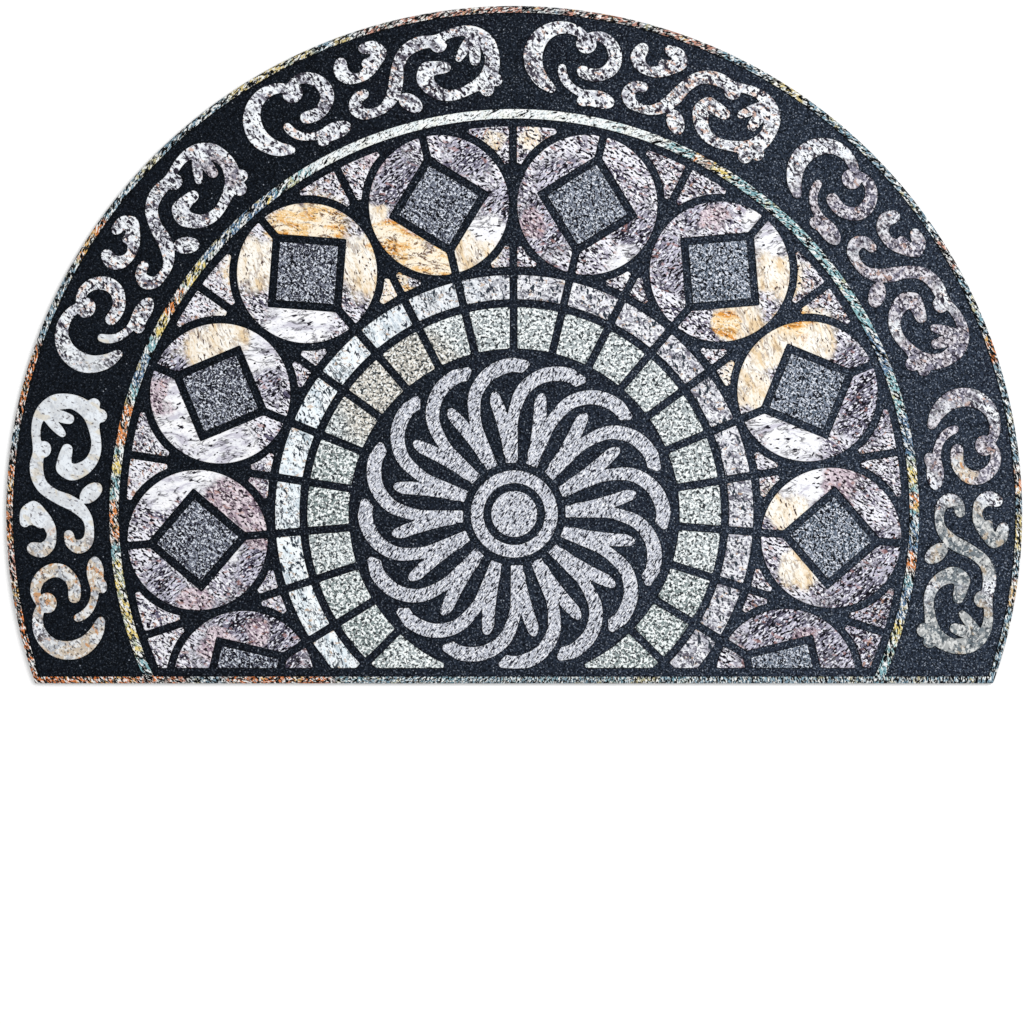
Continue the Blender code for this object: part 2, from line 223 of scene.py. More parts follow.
def new_object(name, points, quads, triangles, materials, face_material=None):
    """A smooth mesh object in its place, from arrays of points, quads and triangles."""
    mesh = bpy.data.meshes.new(name)
    corners = np.concatenate([quads.ravel(), triangles.ravel()])
    starts = np.concatenate([4 * np.arange(len(quads)),
                             4 * len(quads) + 3 * np.arange(len(triangles))])
    mesh.vertices.add(len(points))
    mesh.loops.add(len(corners))
    mesh.polygons.add(len(starts))
    mesh.vertices.foreach_set("co", np.ascontiguousarray(points, np.float32).ravel())
    mesh.loops.foreach_set("vertex_index", corners.astype(np.int32))
    mesh.polygons.foreach_set("loop_start", starts.astype(np.int32))
    mesh.polygons.foreach_set("use_smooth", np.ones(len(starts), bool))
    for material in materials:
        mesh.materials.append(material)
    if face_material is not None:
        mesh.polygons.foreach_set("material_index", face_material.astype(np.int32))
    mesh.update(calc_edges=True)
    mesh.validate()
    made = bpy.data.objects.new(name, mesh)
    bpy.context.scene.collection.objects.link(made)
    return made


def walls(rings, counts):
    """Quads between each ring of points and the next above it, facing away from the raised side."""
    size = counts.sum()
    here, ahead = np.arange(size), neighbour(counts, 1)
    base = size * np.arange(rings - 1)[:, None]
    return np.stack([base + here, base + ahead, base + size + ahead, base + size + here],
                    2).reshape(-1, 4)


def islands(name, family, material, on_slope=None):
    """Raised islands: the island profile, from foot to top, is carried along a family's outlines,
    and the top and the hidden foot are filled. The points that on_slope marks have the profile of
    the rim's slope."""
    xy, counts = families()[family]
    out = outward((xy, counts))
    shape = np.array(ISLAND_PROFILE)[:, None] * MM
    if on_slope is not None:
        shape = np.where(on_slope[None, :, None], np.array(RIM_SLOPE)[:, None] * MM, shape)
    shape = np.broadcast_to(shape, (len(shape), len(xy), 2))
    rings = np.concatenate([xy + out * shape[:, :, :1], shape[:, :, 1:]], 2)
    points = rings.reshape(-1, 3)
    above = len(points) - len(xy)
    added, top = filled((rings[-1, :, :2], counts))
    added_low, foot = filled((rings[0, :, :2], counts))
    top = np.where(top < len(xy), top + above, top - len(xy) + len(points))
    foot = np.where(foot < len(xy), foot, foot - len(xy) + len(points) + len(added))
    height = np.concatenate([np.full(len(added), shape[-1, 0, 1]),
                             np.full(len(added_low), shape[0, 0, 1])])
    extra = np.column_stack([np.concatenate([added, added_low]), height])
    made = new_object(name, np.concatenate([points, extra]), walls(len(shape), counts),
                      np.concatenate([top, foot[:, ::-1]]), [material])
    return belongs(made)


def belongs(made):
    """Puts a piece on the mat's body in place of the CAD node."""
    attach(made, BODY)
    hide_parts(NODE)
    return made


_lines = {}


def families():
    """The eased outlines of every island, by the family that each belongs to."""
    if _lines:
        return _lines
    sizes = bpy.context.scene.doormat_sizes
    lines = eased(cad_outlines(TOP - MM / 2, TOP + MM / 2), sizes.step, sizes.stand_off,
                  sizes.corner)
    xy, area = lines[0], areas(lines)
    radius = np.hypot(*(xy - CENTRE).T)
    nearest, furthest = per_line(lines, radius, np.minimum), per_line(lines, radius, np.maximum)
    spots = CENTRE + ROUNDEL_CENTRE * np.stack([np.cos(ROUNDEL_ANGLES), np.sin(ROUNDEL_ANGLES)], 1)
    away = np.hypot(*(xy[:, None] - spots[None]).transpose(2, 0, 1))
    away = np.stack([per_line(lines, away[:, k], np.maximum) for k in range(len(spots))]).min(0)
    scrolls = (nearest > BORDER_RING_OUTSIDE) & (furthest < SCROLLS_REACH) & (area > 0)
    frame_lines = (furthest > MEDALLION_REACH) & ~scrolls
    band = (furthest > OUTER_TILES_REACH) & ~scrolls & ~frame_lines
    masks = {
        "hub": furthest < HUB_REACH,
        "leaves": (furthest >= HUB_REACH) & (furthest < ROSETTE_REACH),
        "inner_tiles": (furthest >= ROSETTE_REACH) & (furthest < INNER_TILES_REACH),
        "outer_tiles": (furthest >= INNER_TILES_REACH) & (furthest < OUTER_TILES_REACH),
        "squares": band & (away < SQUARE_REACH),
        "petals": band & (away >= SQUARE_REACH) & (away < ROUNDEL_REACH),
        "spandrels": band & (away >= ROUNDEL_REACH),
        "scrolls": scrolls,
        "frame": frame_lines,
    }
    for name, mask in masks.items():
        _lines[name] = chosen(lines, mask)
    return _lines


# Node trees


def put(tree, kind, values=None, **settings):
    """A node with its settings, its inputs linked to sockets or set to values."""
    made = tree.nodes.new("ShaderNode" + kind)
    for name, value in settings.items():
        setattr(made, name, value)
    for name, value in (values or {}).items():
        if isinstance(value, bpy.types.NodeSocket):
            tree.links.new(value, made.inputs[name])
        else:
            made.inputs[name].default_value = value
    return made


def axis(tree, vector, name):
    """One coordinate of a vector."""
    return put(tree, "SeparateXYZ", {"Vector": vector}).outputs[name]


def sums(tree, operation, first, second=0.0, third=0.0):
    """One step of arithmetic on numbers."""
    return put(tree, "Math", {0: first, 1: second, 2: third}, operation=operation).outputs[0]


def vectors(tree, operation, *values):
    """One step of arithmetic on vectors."""
    name = "Value" if operation in ("DISTANCE", "LENGTH") else "Vector"
    return put(tree, "VectorMath", dict(enumerate(values)), operation=operation).outputs[name]


def turned(tree, vector, angle):
    """A vector turned about the vertical."""
    return put(tree, "VectorRotate", {"Vector": vector, "Angle": angle},
               rotation_type="Z_AXIS").outputs[0]


def blend(tree, factor, first, second, blend_type="MIX"):
    """Two colours mixed by a mask."""
    return put(tree, "Mix", {0: factor, 6: first, 7: second}, data_type="RGBA",
               blend_type=blend_type).outputs[2]


def ramp(tree, value, low, high, to_low=0.0, to_high=1.0, shape="SMOOTHSTEP"):
    """A number eased from one range into another."""
    return put(tree, "MapRange", {"Value": value, "From Min": low, "From Max": high,
                                  "To Min": to_low, "To Max": to_high},
               interpolation_type=shape).outputs["Result"]


def between(tree, share, none, full):
    """A number that a mask leads from one value to another."""
    return ramp(tree, share, 0.0, 1.0, none, full, "LINEAR")


def noise(tree, vector, scale, detail=2.0, roughness=0.5, distortion=0.0, kind="Fac"):
    """Cloudy noise: a number from 0 to 1, or a colour with the kind Color."""
    return put(tree, "TexNoise", {"Vector": vector, "Scale": scale, "Detail": detail,
                                  "Roughness": roughness, "Distortion": distortion}).outputs[kind]


def rgb(code):
    """A hexadecimal colour as linear light."""
    levels = [int(code[k:k + 2], 16) / 255 for k in (1, 3, 5)]
    linear = [v / 12.92 if v <= 0.04045 else ((v + 0.055) / 1.055) ** 2.4 for v in levels]
    return (*linear, 1.0)


def graded(tree, value, low, high, one, other):
    """One colour turning into another as a number goes from low to high."""
    return blend(tree, ramp(tree, value, low, high), rgb(one), rgb(other))


def group(name, inputs, outputs, build):
    """A shader node group that works on a position, built once. Its other inputs are (name, kind,
    default) and its outputs (name, kind)."""
    if name in bpy.data.node_groups:
        return bpy.data.node_groups[name]
    tree = bpy.data.node_groups.new(name, "ShaderNodeTree")
    for label, kind, default in (("Position", "Vector", None), *inputs):
        socket = tree.interface.new_socket(label, in_out="INPUT", socket_type="NodeSocket" + kind)
        if default is not None:
            socket.default_value = default
    for label, kind in outputs:
        tree.interface.new_socket(label, in_out="OUTPUT", socket_type="NodeSocket" + kind)
    source = tree.nodes.new("NodeGroupInput").outputs
    results = build(tree, source["Position"], source)
    sink = tree.nodes.new("NodeGroupOutput")
    for label, socket in results.items():
        tree.links.new(socket, sink.inputs[label])
    return tree


def use(tree, made, position, **values):
    """A group placed in a tree with its own values."""
    return put(tree, "Group", {"Position": position, **values}, node_tree=made).outputs


def nap():
    """The short flock: an uneven pile with darker tufts, and odd fibre ends that catch the light,
    painted pale as glints.
    """
    def build(tree, position, source):
        fine = noise(tree, position, 1500, 2, 0.6)
        tufts = noise(tree, position, 520, 2, 0.55)
        cells = put(tree, "TexVoronoi", {"Vector": position, "Scale": 430.0})
        apart = put(tree, "SeparateColor", {"Color": cells.outputs["Color"]})
        near = ramp(tree, cells.outputs["Distance"], 0.34, 0.16)
        rare = ramp(tree, sums(tree, "ADD", apart.outputs["Red"], source["Specks"]), 0.97, 1.0)
        glint = sums(tree, "MULTIPLY", sums(tree, "MULTIPLY", near, rare), apart.outputs["Green"])
        height = sums(tree, "MULTIPLY_ADD", fine, 0.6, tufts)
        return {"Height": height, "Tufts": ramp(tree, tufts, 0.3, 0.7), "Speck": glint}
    return group("mat_nap", [("Specks", "Float", 0.0)],
                 [("Height", "Float"), ("Tufts", "Float"), ("Speck", "Float")], build)


def printed():
    """Where the print lies: on top of an island, with a ragged edge over its shoulder."""
    def build(tree, position, source):
        height = axis(tree, position, "Z")
        rag = noise(tree, position, 700, 3, 0.6)
        level = sums(tree, "MULTIPLY_ADD", rag, -0.42 * MM, height)
        return {"Mask": ramp(tree, level, source["From"], source["To"])}
    return group("mat_printed", [("From", "Float", 6.25 * MM), ("To", "Float", 6.43 * MM)],
                 [("Mask", "Float")], build)


def torn():
    """Positions shifted by clouds, which tears the edges of what is drawn at them."""
    def build(tree, position, source):
        tear = noise(tree, position, source["Scale"], 4, 0.6, kind="Color")
        shift = vectors(tree, "SUBTRACT", tear, (0.5, 0.5, 0.5))
        reach = put(tree, "CombineXYZ", {"X": source["Reach"], "Y": source["Reach"]}).outputs[0]
        return {"Position": vectors(tree, "MULTIPLY_ADD", shift, reach, position)}
    return group("mat_torn", [("Scale", "Float", 28.0), ("Reach", "Float", 0.05)],
                 [("Position", "Vector")], build)


def patch():
    """A round patch with a soft edge, for a colour that keeps to one part of the mat."""
    def build(tree, position, source):
        away = vectors(tree, "DISTANCE", position, source["Centre"])
        return {"Mask": ramp(tree, sums(tree, "DIVIDE", away, source["Radius"]), 1.12, 0.72)}
    return group("mat_patch", [("Centre", "Vector", None), ("Radius", "Float", 0.04)],
                 [("Mask", "Float")], build)


def marble():
    """Streaked stone: clouds drawn out along one direction, crossed by thin broken veins."""
    def build(tree, position, source):
        bent = use(tree, torn(), position, Scale=9.0, Reach=0.035)["Position"]
        drawn = vectors(tree, "MULTIPLY", turned(tree, bent, source["Turn"]), (1.0, 3.2, 1.0))
        cloud = noise(tree, drawn, source["Scale"], 6, 0.66)
        light = ramp(tree, cloud, 0.47, 0.55)
        dark = ramp(tree, cloud, 0.46, 0.39)
        colour = blend(tree, light, source["Middle"], source["Light"])
        colour = blend(tree, dark, colour, source["Dark"])
        line = noise(tree, drawn, sums(tree, "MULTIPLY", source["Scale"], 1.3), 4, 0.6, 0.5)
        off = sums(tree, "ABSOLUTE", sums(tree, "SUBTRACT", line, 0.5))
        broken = noise(tree, bent, 55, 2)
        vein = sums(tree, "MULTIPLY", ramp(tree, off, 0.04, 0.015), ramp(tree, broken, 0.44, 0.54))
        share = sums(tree, "MULTIPLY", vein, source["Veins"])
        return {"Color": blend(tree, share, colour, source["Vein"])}
    tints = [(label, "Color", None) for label in ("Light", "Middle", "Dark", "Vein")]
    return group("mat_marble", [("Turn", "Float", 0.0), ("Scale", "Float", 26.0), *tints,
                                ("Veins", "Float", 0.7)], [("Color", "Color")], build)


def flecks():
    """Small ragged flecks over a share of the surface, drawn out along one direction."""
    def build(tree, position, source):
        long = put(tree, "CombineXYZ", {"X": 1.0, "Y": source["Length"], "Z": 1.0}).outputs[0]
        drawn = vectors(tree, "MULTIPLY", turned(tree, position, source["Turn"]), long)
        grain = noise(tree, drawn, source["Scale"], 2, 0.45, 0.3)
        level = sums(tree, "MULTIPLY_ADD", source["Cover"], -0.33, 0.64)
        return {"Mask": ramp(tree, grain, level, sums(tree, "ADD", level, 0.045))}
    return group("mat_flecks", [("Turn", "Float", 0.0), ("Length", "Float", 1.0),
                                ("Scale", "Float", 300.0), ("Cover", "Float", 0.4)],
                 [("Mask", "Float")], build)


def new_material(name):
    """A new material: (material, tree, its shader, the position on the object)."""
    made = bpy.data.materials.new(name)
    made.use_nodes = True
    tree = made.node_tree
    return made, tree, tree.nodes["Principled BSDF"], put(tree, "TexCoord").outputs["Object"]


def finish_surface(tree, shader, colour, rough, height, strength, depth):
    """Links a colour, a roughness and a bump of some strength and depth to the shader."""
    bump = put(tree, "Bump", {"Strength": strength, "Distance": depth, "Height": height})
    for name, socket in (("Base Color", colour), ("Roughness", rough),
                         ("Normal", bump.outputs["Normal"])):
        tree.links.new(socket, shader.inputs[name])


# The bare flock's black at the left and at the right, where it is paler with painted sheen, and the
# deeper black of its tufts at both
BLACK_LEFT, BLACK_PAINTED_SHEEN = "#121821", "#2f3847"
DEEP_LEFT, DEEP_PAINTED_SHEEN = "#04060a", "#10151d"
# Both change along x plus a share of y, so the painted sheen is paler towards the straight edge too.
# Painted glints on the fibre ends show more along it as well, over a longer stretch.
SHEEN_LEAN = -0.3
SHEEN_STRETCH = (-0.3, 0.4)
GLINT_STRETCH = (-0.4, 0.42)
# The unprinted walls and feet of the islands: the flock's own black, deepened past the bare ground's
# as painted shade
WALL_SHADE_BLACK = "#040506"
ROUGHNESS = 0.88
# The flock drinks the print, so its colours come out deeper by this power and this share
INK_DEPTH = 1.15
INK_SHARE = (0.84, 0.84, 0.84, 1.0)


def flecked(tree, position, colour, layers):
    """Lays flecks over a colour: (turn, length, scale, cover, strength, colour) for each kind."""
    for turn, length, scale, cover, strength, code in layers:
        mask = use(tree, flecks(), position, Turn=turn, Length=length, Scale=scale,
                   Cover=cover)["Mask"]
        tint = rgb(code) if isinstance(code, str) else code
        colour = blend(tree, sums(tree, "MULTIPLY", mask, strength), colour, tint)
    return colour


def flock_material(name, paint, printed_too=None):
    """Flocked rubber, with painted sheen and painted glints on its bare black towards the right.
    paint(tree, position) gives the printed colour, and is None for bare flock.
    printed_too gives a mask of where the print runs over a side as well."""
    made, tree, shader, position = new_material(name)
    toward_sheen = sums(tree, "MULTIPLY_ADD", axis(tree, position, "Y"), SHEEN_LEAN, axis(tree, position, "X"))
    # Painted glints: more of the pale fibre ends show towards the right
    glints = ramp(tree, toward_sheen, *GLINT_STRETCH, 0.0, 0.2, "LINEAR")
    pile = use(tree, nap(), position, Specks=glints)
    # Painted sheen: the bare black and its tufts turn paler towards the right and the straight edge
    bare = graded(tree, toward_sheen, *SHEEN_STRETCH, BLACK_LEFT, BLACK_PAINTED_SHEEN)
    deep = graded(tree, toward_sheen, *SHEEN_STRETCH, DEEP_LEFT, DEEP_PAINTED_SHEEN)
    bare = blend(tree, pile["Tufts"], bare, deep)
    # The pale flecks, stronger towards the right, are painted sheen; the dark flecks are the flock's
    # own
    bare = flecked(tree, position, bare, (
        (0.4, 1.0, 640.0, 0.14, ramp(tree, toward_sheen, *GLINT_STRETCH, 0.12, 0.7), "#7c8695"),
        (1.3, 1.0, 600.0, 0.25, 0.75, "#030508")))
    # Painted glints: pale specks on the fibre ends
    bare = blend(tree, sums(tree, "MULTIPLY", pile["Speck"], 0.8), bare, rgb("#a4abb6"))
    colour = bare
    if paint:
        mask = use(tree, printed(), position)["Mask"]
        if printed_too:
            mask = sums(tree, "MAXIMUM", mask, printed_too(tree, position))
        ink = put(tree, "Gamma", {"Color": paint(tree, position), "Gamma": INK_DEPTH})
        ink = blend(tree, 1.0, ink.outputs["Color"], INK_SHARE, "MULTIPLY")
        # Where the print doesn't reach, the walls and feet take the bare black deepened towards
        # near-black, painted shade at the islands' sides
        colour = blend(tree, mask, blend(tree, 0.85, bare, rgb(WALL_SHADE_BLACK)), ink)
    rough = ramp(tree, pile["Height"], 0.5, 1.1, ROUGHNESS - 0.1, ROUGHNESS + 0.08)
    finish_surface(tree, shader, colour, rough, pile["Height"], 0.6, 0.3 * MM)
    shader.inputs["Specular IOR Level"].default_value = 0.05
    shader.inputs["Sheen Weight"].default_value = 0.03
    shader.inputs["Sheen Roughness"].default_value = 0.5
    return made


def at(x, y):
    """A point on the mat from the rosette's centre, in millimetres."""
    return (x * MM, y * MM + CENTRE[1], TOP)


def patches(tree, position, spots, reach=50 * MM):
    """One mask for several torn patches, (x, y, radius) in millimetres from the rosette."""
    place = use(tree, torn(), position, Reach=reach)["Position"]
    mask = 0.0
    for x, y, radius in spots:
        one = use(tree, patch(), place, Centre=at(x, y), Radius=radius * MM)["Mask"]
        mask = sums(tree, "MAXIMUM", one, mask)
    return mask


def paint_leaves(tree, position):
    """Silver-grey stone, hatched with fine dark and pale dashes."""
    cloud = noise(tree, position, 60, 4, 0.6)
    colour = graded(tree, cloud, 0.35, 0.65, "#cbcfd9", "#d8dbe4")
    return flecked(tree, position, colour, (
        (0.3, 1.3, 560.0, 0.36, 0.7, "#979aa6"), (-1.1, 2.8, 320.0, 0.34, 1.0, "#f8f9fd"),
        (-1.05, 3.0, 240.0, 0.2, 1.0, "#262935"), (-0.7, 2.6, 300.0, 0.18, 1.0, "#363945"),
        (0.9, 3.0, 320.0, 0.08, 0.9, "#50535e")))


def paint_inner_tiles(tree, position):
    """Granite, warmer at the upper left and darker in a few places."""
    warm = patches(tree, position, [(-105, 115, 60)])
    deep = patches(tree, position, [(-165, -110, 60), (150, -120, 70), (-110, 150, 40),
                                    (-165, 25, 44)])
    colour = blend(tree, sums(tree, "MULTIPLY", deep, 0.8), rgb("#b0b8ba"), rgb("#8b9897"))
    colour = blend(tree, warm, colour, rgb("#b0ada6"))
    pale = blend(tree, warm, rgb("#f3f8f8"), rgb("#ebe7de"))
    return flecked(tree, position, colour, (
        (0.5, 1.2, 310.0, 0.42, 1.0, pale), (0.2, 1.5, 290.0, 0.27, 1.0, "#383f42"),
        (1.4, 1.3, 390.0, 0.22, 0.9, "#3f4548"), (2.2, 1.2, 420.0, 0.22, 1.0, "#fbfefd")))


def veined(tree, position, scale, turn, light, middle, dark, vein, veins):
    """Streaked and veined stone in its tints."""
    return use(tree, marble(), position, Turn=turn, Scale=scale, Light=rgb(light),
               Middle=rgb(middle), Dark=rgb(dark), Vein=rgb(vein), Veins=veins)["Color"]


def paint_outer_tiles(tree, position):
    """White stone at the left, greyer and more purple towards the right."""
    across = axis(tree, position, "X")
    right = ramp(tree, across, -0.16, 0.06)
    white = veined(tree, position, 50.0, 1.1, "#f8fdff", "#edf6fb", "#cad6de", "#2f3b45", 0.8)
    grey = veined(tree, position, 60.0, 0.4, "#ebebf0", "#c4c5ce", "#8b8894", "#4d4853", 0.7)
    colour = blend(tree, right, white, grey)
    return flecked(tree, position, colour, (
        (0.1, 1.5, 150.0, 0.07, 0.6, "#cbab8a"),
        (2.0, 1.4, 340.0, between(tree, right, 0.2, 0.3), 0.9, "#fafcff"),
        (1.3, 1.9, 210.0, between(tree, right, 0.13, 0.2), 1.0, "#39434d"),
        (0.3, 1.5, 340.0, between(tree, right, 0.06, 0.22), 0.9, "#4c4c58")))


def paint_squares(tree, position):
    """Dark granite with pale feathery fibres."""
    across = axis(tree, position, "X")
    cloud = noise(tree, position, 60, 4, 0.6)
    base = graded(tree, across, -0.2, 0.25, "#545664", "#6c7887")
    pale = blend(tree, 0.5, base, rgb("#969cab"))
    colour = blend(tree, ramp(tree, cloud, 0.38, 0.6), base, pale)
    return flecked(tree, position, colour, (
        (1.2, 1.6, 350.0, 0.4, 1.0, "#14161e"), (0.6, 2.8, 250.0, 0.17, 1.0, "#d9dee8"),
        (2.1, 2.8, 260.0, 0.15, 1.0, "#c4cbd6"), (0.2, 1.4, 400.0, 0.15, 1.0, "#e9edf5"),
        (1.7, 1.5, 420.0, 0.26, 1.0, "#191c25")))


# Where the roundels' stone is cream, warm, pale, dusky or mauve: (x, y, radius) in millimetres
# from the rosette
CREAM_SPOTS = [(-234, 222, 30), (-137, 224, 28), (-256, 162, 24), (-280, 148, 26), (-110, 205, 24),
               (-126, 268, 14), (-40, 233, 24), (-17, 332, 12), (16, 338, 12), (235, 215, 24),
               (203, 172, 24), (209, 118, 26), (228, 150, 22), (262, 160, 30), (242, 4, 22),
               (255, -48, 20)]
WARM_SPOTS = [(-205, 262, 22), (-168, 266, 28), (-100, 235, 26), (-70, 224, 20), (-121, 247, 13),
              (-94, 193, 13), (190, 168, 14), (252, 172, 18)]
PALE_SPOTS = [(-193, 168, 32), (-296, 85, 30), (-260, 58, 32), (-229, 148, 18), (-325, 20, 20),
              (-292, 31, 22), (-262, -20, 22), (-22, 256, 20), (100, 222, 20), (230, 258, 26),
              (235, 90, 24), (250, 62, 34), (262, 36, 22)]
DUSKY_SPOTS = [(28, 256, 28), (41, 301, 26), (107, 251, 26), (-107, 300, 28), (-40, 328, 26),
               (-13, 283, 18), (148, 215, 20), (-233, -41, 28), (-314, -64, 24), (-242, 22, 24),
               (-238, -122, 50), (244, -122, 50), (310, -100, 44), (318, 101, 30),
               (306, 130, 22), (311, 76, 22), (340, -34, 26), (310, -66, 26), (-220, 121, 16),
               (-312, 131, 22), (167, 269, 20), (131, 238, 18)]
MAUVE_SPOTS = [(-253, 14, 26), (-226, -14, 18), (-283, -80, 18), (-268, -118, 16), (-232, -106, 13),
               (-318, 104, 15), (-124, 318, 13), (14, 262, 11), (296, 26, 19), (262, -112, 14),
               (176, 262, 12)]

# Kinds of stone: (turn, light, middle, dark, vein, share of veins), then the kind's own flecks
PLAIN_STONE = ((0.6, "#efeff7", "#bbb7c4", "#69657a", "#211e2a", 0.95), (
    (0.9, 1.8, 330.0, 0.32, 1.0, "#fbfbff"), (0.5, 2.0, 270.0, 0.35, 1.0, "#1d1a26"),
    (0.3, 2.0, 130.0, 0.05, 0.6, "#bd9793")))
CREAM_STONE = ((1.2, "#fdfaf3", "#f8efe0", "#ecd6b4", "#704e3a", 0.5), (
    (0.9, 1.5, 360.0, 0.24, 0.6, "#d6c4a8"), (1.3, 2.4, 200.0, 0.03, 1.0, "#5e4a44")))
WARM_STONE = ((0.15, "#fcf2de", "#f3d29c", "#dc9c4a", "#5f3923", 0.9), (
    (0.1, 2.6, 200.0, 0.02, 0.9, "#5f4438"), (0.9, 1.5, 400.0, 0.24, 0.7, "#fff8ec"),
    (2.1, 1.3, 420.0, 0.16, 0.6, "#a98158")))
PALE_STONE = ((-0.2, "#fcfcfe", "#f4f5f9", "#d3d1dc", "#2d2934", 0.7), (
    (0.2, 1.5, 400.0, 0.18, 0.5, "#cfcdd8"), (-0.2, 2.4, 190.0, 0.05, 1.0, "#2f2b37")))
DUSKY_STONE = ((-0.7, "#c2c0cf", "#827f91", "#3f3c4d", "#15141b", 0.95), (
    (-0.5, 1.8, 320.0, 0.3, 1.0, "#eeeef6"), (-0.7, 2.0, 270.0, 0.35, 1.0, "#17151f"),
    (0.3, 1.6, 130.0, 0.05, 0.6, "#b48c8a")))
MAUVE_STONE = ((0.9, "#d8cad2", "#a998a4", "#746472", "#362932", 0.6), (
    (0.9, 1.5, 340.0, 0.32, 0.9, "#f4ebef"), (0.5, 1.8, 280.0, 0.3, 1.0, "#352b34"),
    (0.2, 1.8, 150.0, 0.06, 0.6, "#c19a92")))


def stone_kind(tree, position, scale, kind):
    """One kind of veined stone with its flecks."""
    tints, layers = kind
    return flecked(tree, position, veined(tree, position, scale, *tints), layers)


def stone(tree, position, scale):
    """The print of the roundels: veined stone whose kind changes from place to place."""
    colour = stone_kind(tree, position, scale, PLAIN_STONE)
    for spots, kind in ((DUSKY_SPOTS, DUSKY_STONE), (PALE_SPOTS, PALE_STONE),
                        (MAUVE_SPOTS, MAUVE_STONE), (CREAM_SPOTS, CREAM_STONE),
                        (WARM_SPOTS, WARM_STONE)):
        colour = blend(tree, patches(tree, position, spots), colour,
                       stone_kind(tree, position, scale, kind))
    return colour


def paint_petals(tree, position):
    """The roundels' veined stone."""
    return stone(tree, position, 34.0)


def paint_spandrels(tree, position):
    """The same stone in small pieces, more broken up, and paler at the left."""
    across = axis(tree, position, "X")
    return flecked(tree, position, stone(tree, position, 44.0), (
        (2.0, 1.4, 150.0, 0.08, 0.6, "#c79d84"),
        (1.1, 1.5, 340.0, ramp(tree, across, -0.25, 0.0, 0.26, 0.1, "LINEAR"), 0.9, "#f8f8fc"),
        (0.4, 1.8, 290.0, ramp(tree, across, -0.25, 0.0, 0.06, 0.25, "LINEAR"), 1.0, "#2f2b37")))


# Where the scrolls' print is rosy, dusky, grey, clean or tan: spots on a circle of this radius round
# the rosette, as (degrees, radius of the spot), in millimetres
BAND_RADIUS = 406
ROSY_RUN = ((151, 44), (120, 24), (108, 22), (68, 40), (58, 44))
DUSKY_RUN = ((131, 16), (44, 46), (32, 46), (20, 46), (8, 40))
GREY_RUN = ((-4, 42), (-15, 44))
CLEAN_RUN = ((178, 50), (168, 54), (158, 22))
TAN_RUN = ((199, 52), (188, 46), (6, 14))


def paint_scrolls(tree, position):
    """Mottled stone: clean and white at the left, tan below it, speckled over the top, dusky at
    the right and a cloudy grey at its lower end."""
    speckled = veined(tree, position, 48.0, 0.7, "#f6fafd", "#d3d6de", "#807d89", "#2f2b35", 0.8)
    rosy = patches(tree, position, arcs(BAND_RADIUS, ROSY_RUN))
    speckled = flecked(tree, position, speckled, (
        (0.4, 1.3, 150.0, between(tree, rosy, 0.04, 0.28), 0.6, "#d9ae93"),
        (1.9, 1.3, 300.0, 0.3, 0.9, "#f9fbfe"), (0.9, 1.5, 240.0, 0.24, 1.0, "#37333e"),
        (0.4, 1.3, 360.0, 0.19, 0.9, "#4c4853")))
    cloud = noise(tree, position, 95, 4, 0.62)
    dusky = graded(tree, cloud, 0.45, 0.55, "#8e8c9b", "#b9b3b8")
    dusky = flecked(tree, position, dusky, (
        (0.4, 1.2, 110.0, 0.1, 0.5, "#cda58c"), (2.0, 1.3, 95.0, 0.2, 0.8, "#5f6070"),
        (1.2, 1.2, 140.0, 0.24, 0.9, "#e0dee3"), (0.5, 2.2, 240.0, 0.24, 1.0, "#34303c"),
        (1.9, 1.3, 330.0, 0.28, 0.9, "#eceaf0"), (0.9, 1.6, 340.0, 0.22, 0.9, "#443f4b")))
    grey = graded(tree, cloud, 0.42, 0.58, "#7d868c", "#b4b6b6")
    grey = flecked(tree, position, grey, (
        (1.1, 1.3, 70.0, 0.12, 0.6, "#c9b59a"), (2.0, 1.3, 85.0, 0.2, 0.8, "#59636a"),
        (1.2, 1.2, 130.0, 0.22, 0.8, "#d9dbd9"), (0.5, 1.6, 330.0, 0.2, 0.8, "#4b4f55"),
        (1.9, 1.3, 360.0, 0.26, 0.8, "#e6e7e6")))
    clean = graded(tree, cloud, 0.42, 0.6, "#dcdfe2", "#edf2f7")
    clean = flecked(tree, position, clean, (
        (0.6, 1.6, 60.0, 0.16, 0.5, "#dccfb4"), (1.1, 1.2, 380.0, 0.24, 0.5, "#bcc1ca"),
        (0.4, 1.6, 260.0, 0.06, 0.8, "#6f6a70")))
    tan = graded(tree, cloud, 0.44, 0.54, "#bcc0c6", "#d0c3b2")
    tan = flecked(tree, position, tan, (
        (0.3, 1.2, 120.0, 0.28, 0.9, "#e6e8ea"), (1.2, 1.3, 105.0, 0.17, 0.7, "#cf924f"),
        (0.9, 1.5, 320.0, 0.22, 0.9, "#6f6a6a"), (2.0, 1.3, 360.0, 0.24, 0.8, "#f2f2f0")))
    colour = speckled
    for kind, run in ((dusky, DUSKY_RUN), (grey, GREY_RUN), (clean, CLEAN_RUN), (tan, TAN_RUN)):
        colour = blend(tree, patches(tree, position, arcs(BAND_RADIUS, run)), colour, kind)
    return colour


def round_the_mat(tree, position):
    """A point's direction from the rosette's centre, in radians from the right, and its distance."""
    local = vectors(tree, "SUBTRACT", position, (*CENTRE, 0.0))
    angle = sums(tree, "ARCTAN2", axis(tree, local, "Y"), axis(tree, local, "X"))
    flat = vectors(tree, "MULTIPLY", local, (1.0, 1.0, 0.0))
    return angle, vectors(tree, "LENGTH", flat)


def arcs(radius, places):
    """Spots for patches() on a circle round the rosette, from (degrees, radius of the spot)."""
    return [(radius * math.cos(math.radians(turn)), radius * math.sin(math.radians(turn)), reach)
            for turn, reach in places]


